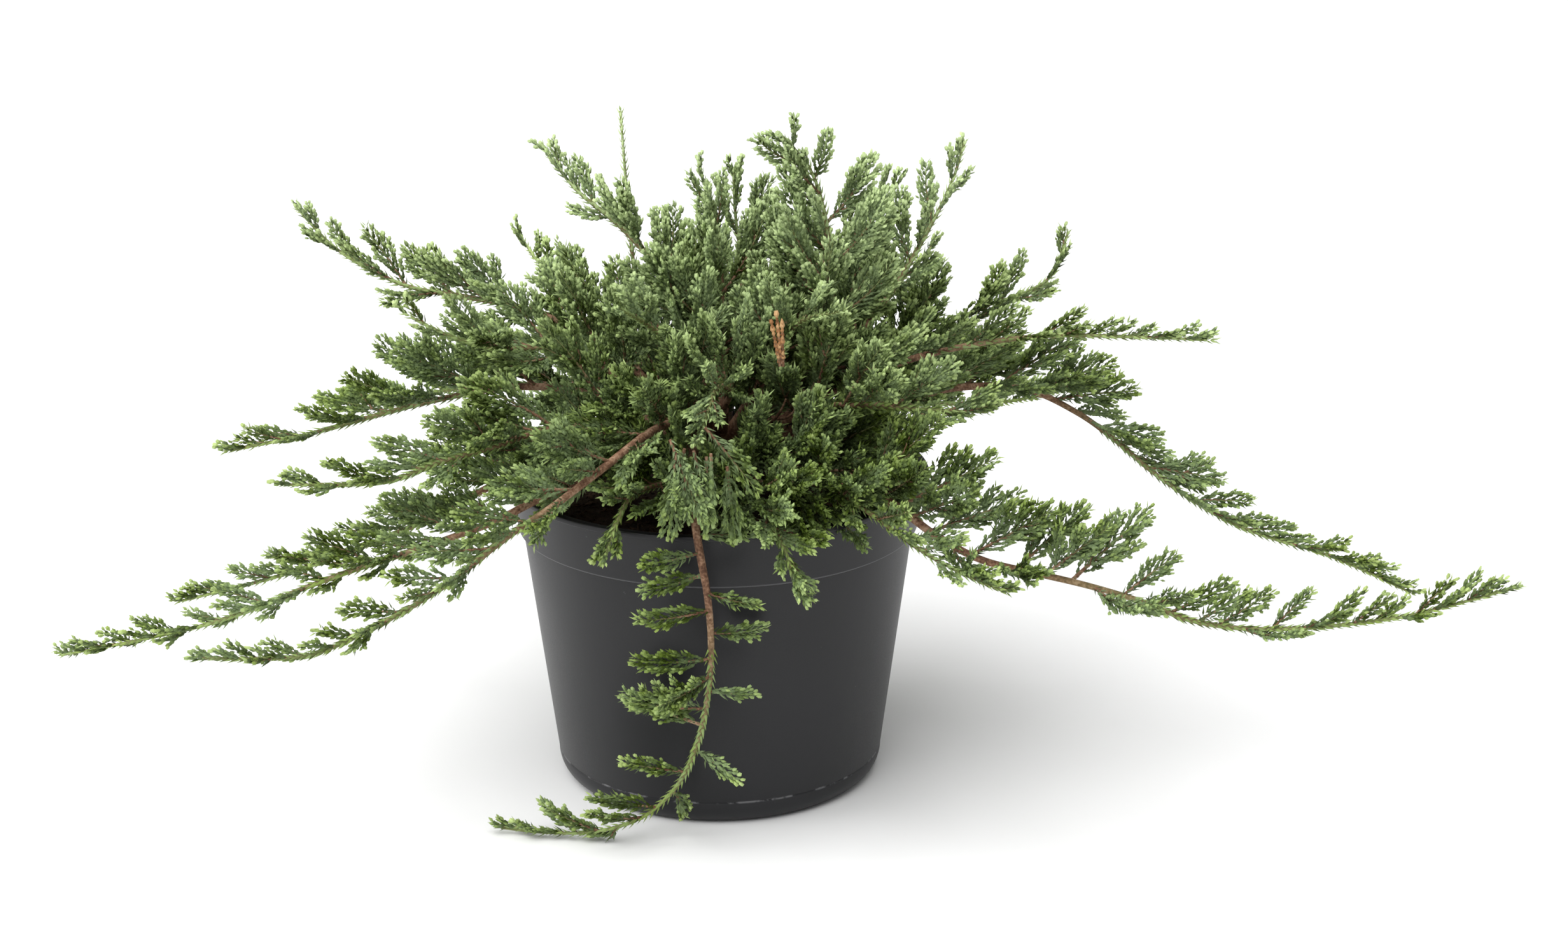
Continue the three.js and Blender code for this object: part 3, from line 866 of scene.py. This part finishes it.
# %% [markdown]
# ## New growth from the crown
# Short leafy shoots stand on the limbs themselves and hide them from above. More of them lean out over the
# front of the rim. The rest droop over its edge at the back and the front, hang in a tuft from the middle of
# the front, and close the gap behind the middle. They belong to no one branch, so they are pieces of their
# own.

# %% Clothe the crown
INNER_SHOOTS = 60
FRONT_SHOOTS = 46
BACK_SHOOTS = 20
RIM_SHOOTS = 22
TUFT_SHOOTS = 7
BEHIND_SHOOTS = 6
rng = np.random.default_rng(7)
limbs = list(routes.values())


def round_the_rim(rng, share, first, last, near, far, low, high):
    """A place over the mix, at a share of the way from first to last degrees, and the way out there."""
    outward = level(math.radians(first + share * (last - first)))
    return outward * rng.uniform(near, far) * MM + UP * (RIM_HEIGHT + rng.uniform(low, high) * MM), outward


leaves, wood = Skeleton(), Skeleton()
for number in range(INNER_SHOOTS):
    limb = limbs[number % len(limbs)]
    start = CROWN_FORK + (limb[0] - CROWN_FORK) * rng.uniform(0.35, 1.3)
    outward = unit(limb[0] - CROWN_FORK)
    heading = unit(0.7 * outward + UP * rng.uniform(0.5, 1.1) + rng.normal(0, 0.3, 3))
    grow_side_shoot(rng, leaves, wood, start, heading, outward, rng.uniform(26, 46) * MM,
                    rng.uniform(0.4, 0.9))
print("inner growth", clothe("inner", leaves, wood, 90, (None, None)), "triangles")

leaves, wood = Skeleton(), Skeleton()
for number in range(FRONT_SHOOTS):
    start, outward = round_the_rim(rng, rng.uniform(), -168, 18, 40, 76, 5, 20)
    heading = unit(outward + UP * rng.uniform(-0.25, 0.4) + rng.normal(0, 0.25, 3))
    grow_side_shoot(rng, leaves, wood, start, heading, outward, rng.uniform(24, 40) * MM,
                    rng.uniform(0.7, 1.2), -0.3)
print("front growth", clothe("front", leaves, wood, 92, (None, None)), "triangles")

leaves, wood = Skeleton(), Skeleton()
for shoots, first, last, highest in ((BACK_SHOOTS, 18, 192, 26), (RIM_SHOOTS, -84, -25, 16)):
    for number in range(shoots):
        share = (number + rng.uniform()) / shoots
        start, outward = round_the_rim(rng, share, first, last, 66, 86, 4, highest)
        heading = unit(outward + UP * rng.uniform(-0.5, 0.1) + rng.normal(0, 0.2, 3))
        grow_side_shoot(rng, leaves, wood, start, heading, outward, rng.uniform(20, 34) * MM,
                        rng.uniform(0.8, 1.2), -0.6)
for number in range(TUFT_SHOOTS):
    start = routes["front_mid"][-1] + rng.normal(0, 5, 3) * MM
    heading = unit(np.array([0.1, -0.25, -1.0]) + rng.normal(0, 0.25, 3))
    grow_side_shoot(rng, leaves, wood, start, heading, heading, rng.uniform(26, 42) * MM,
                    rng.uniform(0.4, 0.9), -0.5)
for number in range(BEHIND_SHOOTS):
    start, outward = round_the_rim(rng, (number + 0.5) / BEHIND_SHOOTS, 50, 120, 34, 46, 0, 6)
    heading = unit(0.3 * outward + UP + rng.normal(0, 0.1, 3))
    grow_side_shoot(rng, leaves, wood, start, heading, outward, rng.uniform(28, 36) * MM,
                    rng.uniform(0.6, 1.0))
print("rim growth", clothe("rim", leaves, wood, 93, (None, None)), "triangles")

# %% [markdown]
# ## Dead growth
# A plant of this age holds a little dead growth in its middle. One dry sprig still has its orange-brown
# scales, and a few thin twigs have lost theirs.

# %% Add a dead sprig and bare twigs
BARE_TWIGS = 9
SPRIG_POINTS, TWIG_POINTS = 6, 7
rng = np.random.default_rng(21)
dead_leaves, dead_wood = Skeleton(), Skeleton()
sprig_foot = np.array([27, -64, 208]) * MM
sprig_way = unit(np.array([-0.1, -0.1, 1.0]))
sprig = arcs(sprig_foot[None], sprig_way[None], sprig_way[None], [20 * MM], SPRIG_POINTS, 0.5)[0]
for offset in (-2.0, 0.0, 2.2):
    strand = sprig + np.linspace(0.3, 1, SPRIG_POINTS)[:, None] * np.array([offset, 0, -abs(offset) * 1.5]) * MM
    dead_leaves.add(strand[None], youth=0.5, leaf=1.1, kind=SCALE)
    dead_wood.add(strand[None], thick=np.linspace(0.7, 0.4, SPRIG_POINTS)[None] * MM, youth=0.0)
for number in range(BARE_TWIGS):
    start, outward = round_the_rim(rng, rng.uniform(), -125, -25, 20, 45, 10, 40)
    heading = unit(outward + UP * rng.uniform(0.2, 1.2) + rng.normal(0, 0.3, 3))
    twig = arcs(start[None], heading[None], UP[None], [rng.uniform(22, 40) * MM], TWIG_POINTS, 0.6)
    dead_wood.add(twig, thick=np.linspace(0.9, 0.4, TWIG_POINTS)[None] * MM, youth=0.0)
counts = clothe("dead", dead_leaves, dead_wood, 91, (None, None), names=("dead_twigs", "dead_sprig"),
                finish=dead_finish)
print("dead growth", BARE_TWIGS, "twigs,", counts, "triangles")

# %% [markdown]
# ## The pot
# The pot is thin plastic, turned about its axis, so one outline turned round makes it: the underside with its
# ring channel, the rounded foot, the wall, the wider band under the rim and the rolled lip, then down the
# inside. The drain holes are cut through the floor of the channel afterwards.


# %% Turn the pot
def turned(name, outline, segments=144):
    """A closed solid turned about Z from an outline that starts and ends on the axis."""
    outline = np.asarray(outline)
    angles = np.linspace(0, 2 * np.pi, segments, endpoint=False)
    rings = outline[1:-1]
    around = np.stack([level(angle) for angle in angles])
    points = np.concatenate([r * around + z * UP for r, z in rings])
    points = np.concatenate([[[0, 0, outline[0][1]]], points, [[0, 0, outline[-1][1]]]])
    following = np.roll(np.arange(segments), -1)
    faces = [(0, 1 + j, 1 + i) for i, j in zip(range(segments), following)]
    for ring in range(len(rings) - 1):
        low, high = 1 + ring * segments, 1 + (ring + 1) * segments
        faces += [(low + i, low + j, high + j, high + i) for i, j in zip(range(segments), following)]
    last, top = len(points) - 1, 1 + (len(rings) - 1) * segments
    faces += [(last, top + i, top + j) for i, j in zip(range(segments), following)]
    return mesh_object(name, points, faces=faces)


def rounded(corners, radius, steps=5):
    """An outline with its inner corners cut to short arcs."""
    corners = np.asarray(corners, float)
    made = [corners[0]]
    for before, corner, after in zip(corners, corners[1:], corners[2:]):
        reach = min(radius, 0.45 * np.linalg.norm(before - corner), 0.45 * np.linalg.norm(after - corner))
        start, end = corner + unit(before - corner) * reach, corner + unit(after - corner) * reach
        t = np.linspace(0, 1, steps)[:, None]
        made += list((1 - t) ** 2 * start + 2 * t * (1 - t) * corner + t ** 2 * end)
    return np.array([*made, corners[-1]])


WALL = 1.6 * MM
POT_FLOOR = 4.2 * MM
LIP_WIDTH, LIP_HEIGHT = 2.2 * MM, 2.4 * MM
BAND_HEIGHT, BAND_STEP, BAND_FLARE = 25 * MM, 2.2 * MM, 2.6 * MM
BASE_RADIUS, FOOT_FLARE, FOOT_HEIGHT = 66 * MM, 8.5 * MM, 10.5 * MM
CHANNEL_RADIUS, CHANNEL_WIDTH, CHANNEL_DEPTH = 41 * MM, 18 * MM, 2.4 * MM
HOLE_RADIUS, HOLES = 5 * MM, 8
BAND_TOP = RIM_RADIUS - LIP_WIDTH
BAND_FOOT = BAND_TOP - BAND_FLARE
WALL_TOP = BAND_FOOT - BAND_STEP
WALL_FOOT = BASE_RADIUS + FOOT_FLARE
BAND_FOOT_HEIGHT = RIM_HEIGHT - BAND_HEIGHT
SCUFF_HEIGHT = FOOT_HEIGHT + 1 * MM


def foot(inset, lowest):
    angle = np.linspace(0, np.pi / 2, 12)
    return np.column_stack([BASE_RADIUS - inset + FOOT_FLARE * np.sin(angle),
                            FOOT_HEIGHT - (FOOT_HEIGHT - lowest) * np.cos(angle)])


def pot_outline():
    inner, outer = CHANNEL_RADIUS - CHANNEL_WIDTH / 2, CHANNEL_RADIUS + CHANNEL_WIDTH / 2
    underside = [(0, 0), (inner - CHANNEL_DEPTH, 0), (inner, CHANNEL_DEPTH), (outer, CHANNEL_DEPTH),
                 (outer + CHANNEL_DEPTH, 0), (BASE_RADIUS - 3 * MM, 0)]
    groove = [(WALL_FOOT, FOOT_HEIGHT + 0.4 * MM), (WALL_FOOT - 0.25 * MM, SCUFF_HEIGHT),
              (WALL_FOOT + 0.15 * MM, SCUFF_HEIGHT + 0.6 * MM)]
    band = [(WALL_TOP, BAND_FOOT_HEIGHT), (BAND_FOOT, BAND_FOOT_HEIGHT + 1.1 * MM),
            (BAND_TOP, RIM_HEIGHT - LIP_HEIGHT)]
    lip = [(RIM_RADIUS, RIM_HEIGHT - LIP_HEIGHT), (RIM_RADIUS, RIM_HEIGHT), (BAND_TOP - WALL, RIM_HEIGHT)]
    inside = [(BAND_FOOT - WALL, BAND_FOOT_HEIGHT + BAND_STEP), (WALL_TOP - WALL, BAND_FOOT_HEIGHT)]
    return np.vstack([rounded(underside, 1.0 * MM), foot(0, 0), groove,
                      rounded(band + lip + inside, 0.7 * MM), foot(WALL, POT_FLOOR)[::-1], [(0, POT_FLOOR)]])


pot_piece = turned("nursery_pot", pot_outline())
HOLE_SIDES = 24
turns = np.linspace(0, 2 * np.pi, HOLE_SIDES, endpoint=False)
circle = HOLE_RADIUS * np.stack([level(turn) for turn in turns])
cut_points, cut_faces = [], []
for number in range(HOLES):
    low, high = len(cut_points), len(cut_points) + HOLE_SIDES
    ring = CHANNEL_RADIUS * level((number + 0.5) / HOLES * 2 * math.pi) + circle
    cut_points += [*(ring - POT_FLOOR * UP), *(ring + 2 * POT_FLOOR * UP)]
    cut_faces += [tuple(range(high - 1, low - 1, -1)), tuple(range(high, high + HOLE_SIDES))]
    cut_faces += [(low + i, low + j, high + j, high + i)
                  for i, j in zip(range(HOLE_SIDES), np.roll(range(HOLE_SIDES), -1).tolist())]
cutter = mesh_object("hole_cutter", cut_points, faces=cut_faces)
holes = pot_piece.modifiers.new("holes", "BOOLEAN")
holes.operation, holes.object, holes.solver = "DIFFERENCE", cutter, "EXACT"
settle(pot_piece, smooth=True)
bpy.data.objects.remove(cutter)
pot_piece.data.set_sharp_from_angle(angle=math.radians(40))
print("pot", triangles(pot_piece), "triangles")


# %% [markdown]
# ## Charcoal plastic
# Recycled black plastic is a dull charcoal, never pure black. Its skin has a fine grain and faint clouds, and
# handling leaves pale scratches and dust, most of all round the foot, where the pot is dragged. A painted
# highlight runs round the lower edge of the band under the rim.


# %% Finish the pot
def line_mask(height, at, width):
    """1 on the surface at one height, and 0 where it is further than width from it."""
    return fade(maths("ABSOLUTE", maths("SUBTRACT", height, at)), 0.0, width, 1.0, 0.0)


def pot_material():
    material, tree, shader = new_material("charcoal_plastic", 0.42, 0.32)
    height = height_in(tree)
    patches = place_clouds(tree, 9.0, 1400.0, 0.35)
    colour = ramp(patches, [(0.35, (0.008, 0.008, 0.009)), (0.65, (0.014, 0.014, 0.016))])
    scratches = mask(place_clouds(tree, 120.0, 420.0, 0.5), 0.69, 0.72)
    scuffed = mixed(scratches, colour, (0.075, 0.075, 0.078))
    broken = mask(place_clouds(tree, 55.0, 300.0, 0.5), 0.5, 0.56)
    foot_line = mixed(1.0, line_mask(height, SCUFF_HEIGHT, 0.7 * MM), broken, "MULTIPLY")
    worn = mixed(foot_line, scuffed, (0.17, 0.17, 0.175))
    # Painted highlight: a thin pale line round the lower edge of the band, where light catches the step.
    painted_shoulder_highlight = line_mask(height, BAND_FOOT_HEIGHT + 0.8 * MM, 0.8 * MM)
    feed(shader.inputs["Base Color"], mixed(painted_shoulder_highlight, worn, (0.13, 0.13, 0.135)))
    feed(shader.inputs["Roughness"], ramp(patches, [(0.3, (0.36, 0.36, 0.36)), (0.7, (0.52, 0.52, 0.52))]))
    bump(shader, place_clouds(tree, 700.0, 2200.0, 0.5), 0.12, 0.2 * MM)
    return material


pot_piece.data.materials.clear()
pot_piece.data.materials.append(pot_material())
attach(pot_piece, ROOT)
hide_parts("pot")

# %% [markdown]
# ## The potting mix
# Potting mix is bark fibre and crumbs. A turned body fills the pot to just under the rim, with a lumpy top,
# and loose crumbs are scattered on it. Geometry Nodes picks the places and turns each crumb its own way.

# %% Fill the pot
MIX_GAP, MIX_DOME = 0.45 * MM, 2.5 * MM
mix_low, mix_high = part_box("potting_mix")
MIX_TOP = mix_high.z - MIX_DOME
edge = mix_high.x
top_radii = np.linspace(edge - 1.5 * MM, 3 * MM, 34)
top_heights = MIX_TOP + MIX_DOME * (1 - top_radii / edge)
body = foot(WALL + MIX_GAP, POT_FLOOR + 0.3 * MM)
mix_outline = np.vstack([[(0, mix_low.z)], body, [(WALL_TOP - WALL - MIX_GAP, BAND_FOOT_HEIGHT)],
                         [(edge, MIX_TOP - 1 * MM)], np.column_stack([top_radii, top_heights]),
                         [(0, MIX_TOP + MIX_DOME)]])
mix_piece = turned("potting_mix_body", mix_outline, segments=96)
lumps = []
for vertex in mix_piece.data.vertices:
    if vertex.co.z > MIX_TOP - 0.5 * MM and vertex.co.xy.length < edge - 1 * MM:
        lump = noise.fractal(vertex.co * 70, 1.0, 2.0, 4) * 1.6 * MM + noise.noise(vertex.co * 700) * 0.5 * MM
        vertex.co.z += lump
        lumps.append(lump)
mix_piece.data.shade_smooth()
print("mix", triangles(mix_piece), "triangles, lumps up to", round(max(lumps) / MM, 1), "mm high")


# %% Scatter crumbs
def crumb(name, seed, size):
    """A rough little lump of twenty faces."""
    shape = bmesh.new()
    bmesh.ops.create_icosphere(shape, subdivisions=1, radius=0.5)
    draw = np.random.default_rng(seed)
    for vertex in shape.verts:
        vertex.co *= draw.uniform(0.7, 1.25)
        vertex.co = Vector(a * b for a, b in zip(vertex.co, size))
    mesh = bpy.data.meshes.new(name)
    shape.to_mesh(mesh)
    shape.free()
    made = bpy.data.objects.new(name, mesh)
    bpy.context.scene.collection.objects.link(made)
    return made


def make_crumb_tree():
    node, given, finish = new_tree("scatter_crumbs", [
        ("Surface", "NodeSocketGeometry", None),
        ("Chip", "NodeSocketObject", None),
        ("Fibre", "NodeSocketObject", None),
        ("Per square metre", "NodeSocketFloat", 90000.0),
        ("Lowest", "NodeSocketFloat", 0.0),
        ("Seed", "NodeSocketInt", 0),
        ("Material", "NodeSocketMaterial", None),
    ])
    seed = given["Seed"]
    place = node("GeometryNodeInputPosition").outputs[0]
    on_top = maths("GREATER_THAN", node("ShaderNodeSeparateXYZ", Vector=place).outputs["Z"], given["Lowest"])
    spots = node("GeometryNodeDistributePointsOnFaces", Mesh=given["Surface"], Selection=on_top,
                 Density=given["Per square metre"], Seed=seed).outputs[0]
    turn = random_value(node, (-0.5, -0.5, 0.0), (0.5, 0.5, 2 * math.pi), seed, "FLOAT_VECTOR")
    placed = node("GeometryNodeInstanceOnPoints", Points=spots,
                  Instance=choice_of(node, (given["Chip"], given["Fibre"])), Pick_Instance=True,
                  Instance_Index=random_value(node, 0, 1, seed, "INT"), Rotation=turn,
                  Scale=random_value(node, 0.5, 1.5, seed)).outputs[0]
    return finish(tinted(node, placed, seed))


def mix_material(name, loose):
    """Dark soil. Loose crumbs each have a shade of their own, and a few are pale."""
    material, tree, shader = new_material(name, 0.95, 0.15)
    grain = place_clouds(tree, 120.0, 800.0, 0.5)
    soil = ramp(grain, [(0.35, (0.010, 0.007, 0.005)), (0.6, (0.035, 0.022, 0.014)),
                        (0.72, (0.090, 0.060, 0.038))])
    if loose:
        shade = ramp(float_attribute(tree, "tint"), [(0.0, (0.5, 0.5, 0.5)), (0.8, (1.3, 1.2, 1.1)),
                                                     (1.0, (2.6, 2.4, 2.2))])
        soil = mixed(1.0, soil, shade, "MULTIPLY")
    feed(shader.inputs["Base Color"], soil)
    bump(shader, grain, 0.8, 1 * MM)
    return material


mix_piece.data.materials.append(mix_material("potting_mix", False))
chip = crumb("chip", 1, (3.2 * MM, 2.2 * MM, 1.3 * MM))
fibre = crumb("fibre", 2, (6.5 * MM, 1.0 * MM, 0.8 * MM))
crumbs = mix_piece.copy()
crumbs.data = mix_piece.data.copy()
crumbs.name = "mix_crumbs"
bpy.context.scene.collection.objects.link(crumbs)
with_nodes(crumbs, make_crumb_tree(), Chip=chip, Fibre=fibre, Lowest=MIX_TOP - 1 * MM, Seed=4,
           Material=mix_material("mix_crumb", True))
settle(crumbs)
for spare in (chip, fibre):
    bpy.data.objects.remove(spare)
for piece in (mix_piece, crumbs):
    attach(piece, ROOT)
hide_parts("potting_mix")
print("crumbs", triangles(crumbs), "triangles")

# %% [markdown]
# ## Floor and light
# A plain pale floor, as in a studio. Most of the light is soft and comes from above, the left and the front.
# A large lamp stands to the left, and an even white surround fills the shadows.


# %% Set the stage
def soft_lamp(name, place, size, power):
    lamp = bpy.data.lights.new(name, "AREA")
    lamp.shape, lamp.size, lamp.energy = "DISK", size, power
    made = bpy.data.objects.new(name, lamp)
    made.location = place
    made.rotation_euler = (Vector((0, 0, 0.15)) - Vector(place)).to_track_quat("-Z", "Y").to_euler()
    bpy.context.scene.collection.objects.link(made)


FLOOR_HALF = 8.0
floor_corners = [(x * FLOOR_HALF, y * FLOOR_HALF, 0) for x, y in ((-1, -1), (1, -1), (1, 1), (-1, 1))]
floor = mesh_object("floor", floor_corners, faces=[(0, 1, 2, 3)])
floor_finish, _, floor_shader = new_material("pale_floor", 0.9, 0.2)
floor_shader.inputs["Base Color"].default_value = (0.9, 0.9, 0.9, 1)
floor.data.materials.append(floor_finish)
sun = bpy.data.lights.new("sun", "SUN")
sun.energy, sun.angle = 3.7, math.radians(70)
sun_object = bpy.data.objects.new("sun", sun)
sun_object.rotation_euler = Vector((-0.3, -0.35, 1.0)).to_track_quat("Z", "Y").to_euler()
bpy.context.scene.collection.objects.link(sun_object)
soft_lamp("side_lamp", (-1.6, -0.3, 0.5), 1.0, 9)
world = bpy.data.worlds.new("studio")
world.use_nodes = True
world.node_tree.nodes["Background"].inputs["Color"].default_value = (1, 1, 1, 1)
world.node_tree.nodes["Background"].inputs["Strength"].default_value = 0.38
bpy.context.scene.world = world
bpy.context.scene.view_settings.view_transform = "Standard"

# %% [markdown]
# ## Finish
# The leaf pairs that were copied are no piece of the plant, so they go.

# %% Remove the leaf pairs
for pattern in patterns.values():
    bpy.data.objects.remove(pattern)
